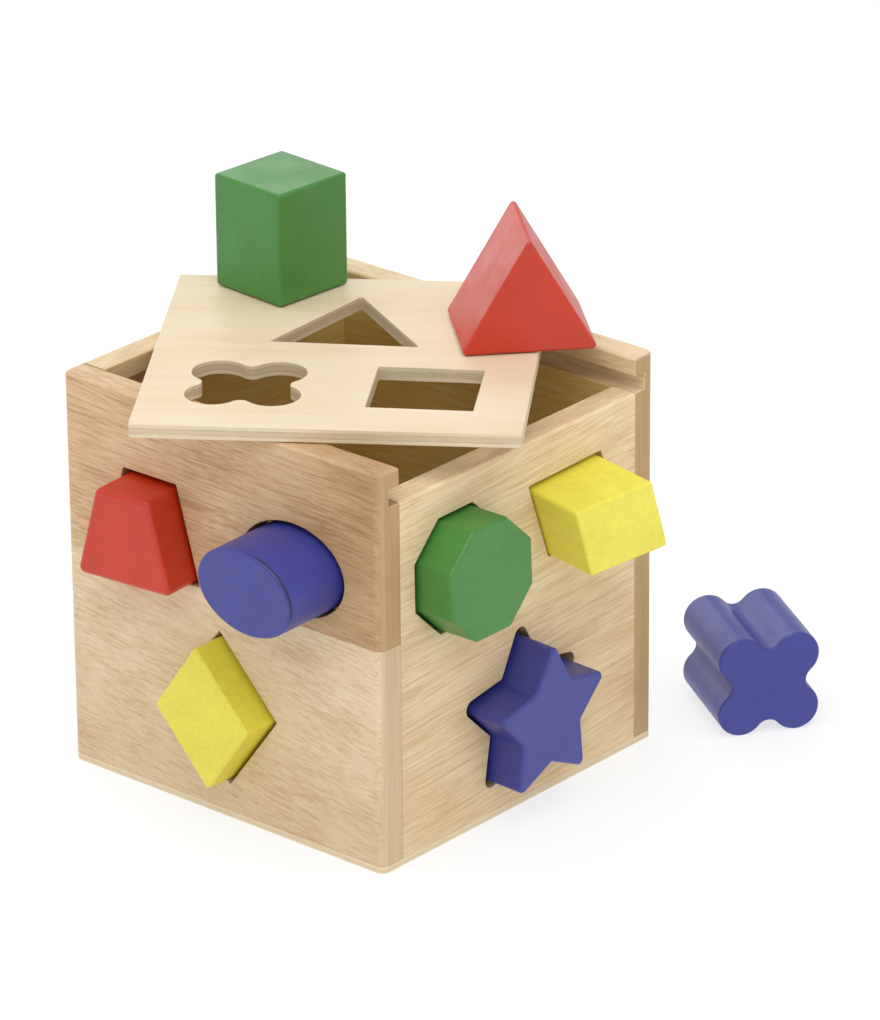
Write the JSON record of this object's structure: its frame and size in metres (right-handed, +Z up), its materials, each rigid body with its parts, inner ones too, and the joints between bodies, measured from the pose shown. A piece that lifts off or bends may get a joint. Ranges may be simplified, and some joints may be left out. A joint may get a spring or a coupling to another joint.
{
  "type": "shape sorter",
  "caption": "Wooden shape-sorting cube for a toddler: a box with shaped holes, a slide-in lid, and painted blocks, some pushed part-way into their holes.",
  "frame": {"origin": "centre of the underside of the box's bottom panel, which rests on the floor", "axes": "+Z up; -X out of the wall with the trapezoid, oval and rhombus holes; -Y out of the lower front wall with the octagon, parallelogram and star holes, over which the lid slides in"},
  "size_m": [0.232, 0.1994, 0.1885],
  "materials": {
    "wood_warm": "satin",
    "wood_pale": "satin",
    "plywood": "satin",
    "paint_red": "painted satin",
    "paint_green": "painted satin",
    "paint_blue": "painted satin",
    "paint_yellow": "painted satin"
  },
  "bodies": {
    "box": {"left_wall_upper_board": "wood_warm", "left_wall_lower_board": "wood_pale", "right_wall_board": "wood_warm", "front_wall_board": "wood_pale", "back_wall_board": "wood_pale", "bottom_panel": "plywood"},
    "lid": {"lid_panel": "plywood"},
    "trapezoid_block": {"trapezoid_block": "paint_red"},
    "ellipse_block": {"ellipse_block": "paint_blue"},
    "rhombus_block": {"rhombus_block": "paint_yellow"},
    "octagon_block": {"octagon_block": "paint_green"},
    "parallelogram_block": {"parallelogram_block": "paint_yellow"},
    "star_block": {"star_block": "paint_blue"},
    "square_block": {"square_block": "paint_green"},
    "triangle_block": {"triangle_block": "paint_red"},
    "clover_block": {"clover_block": "paint_blue"}
  },
  "joints": [
    {"name": "trapezoid_slide", "type": "slide", "parent": "box", "child": "trapezoid_block", "axis": [-0.9962, -0.0872, 0.007], "range_m": [-0.0156, 0.0253]},
    {"name": "ellipse_slide", "type": "slide", "parent": "box", "child": "ellipse_block", "axis": [-0.9973, 0.0523, -0.0523], "range_m": [-0.0002, 0.019]},
    {"name": "rhombus_slide", "type": "slide", "parent": "box", "child": "rhombus_block", "axis": [-0.9985, 0.0471, -0.0296], "range_m": [-0.0106, 0.0303]},
    {"name": "octagon_slide", "type": "slide", "parent": "box", "child": "octagon_block", "axis": [-0.0297, -0.9992, 0.0262], "range_m": [-0.0155, 0.0254]},
    {"name": "parallelogram_slide", "type": "slide", "parent": "box", "child": "parallelogram_block", "axis": [-0.1147, -0.991, -0.0693], "range_m": [-0.0231, 0.0178]},
    {"name": "star_slide", "type": "slide", "parent": "box", "child": "star_block", "axis": [-0.007, -0.9996, -0.0262], "range_m": [-0.0141, 0.0268]},
    {"name": "lid_lift", "type": "slide", "parent": "box", "child": "lid", "axis": [0, 0, 1], "range_m": [0, 0.06]},
    {"name": "square_block_lift", "type": "slide", "parent": "lid", "child": "square_block", "axis": [0, 0, 1], "range_m": [0, 0.06]},
    {"name": "triangle_block_lift", "type": "slide", "parent": "lid", "child": "triangle_block", "axis": [0, 0, 1], "range_m": [0, 0.06]},
    {"name": "clover_block_lift", "type": "slide", "parent": "box", "child": "clover_block", "axis": [0, 0, 1], "range_m": [0, 0.06]}
  ]
}
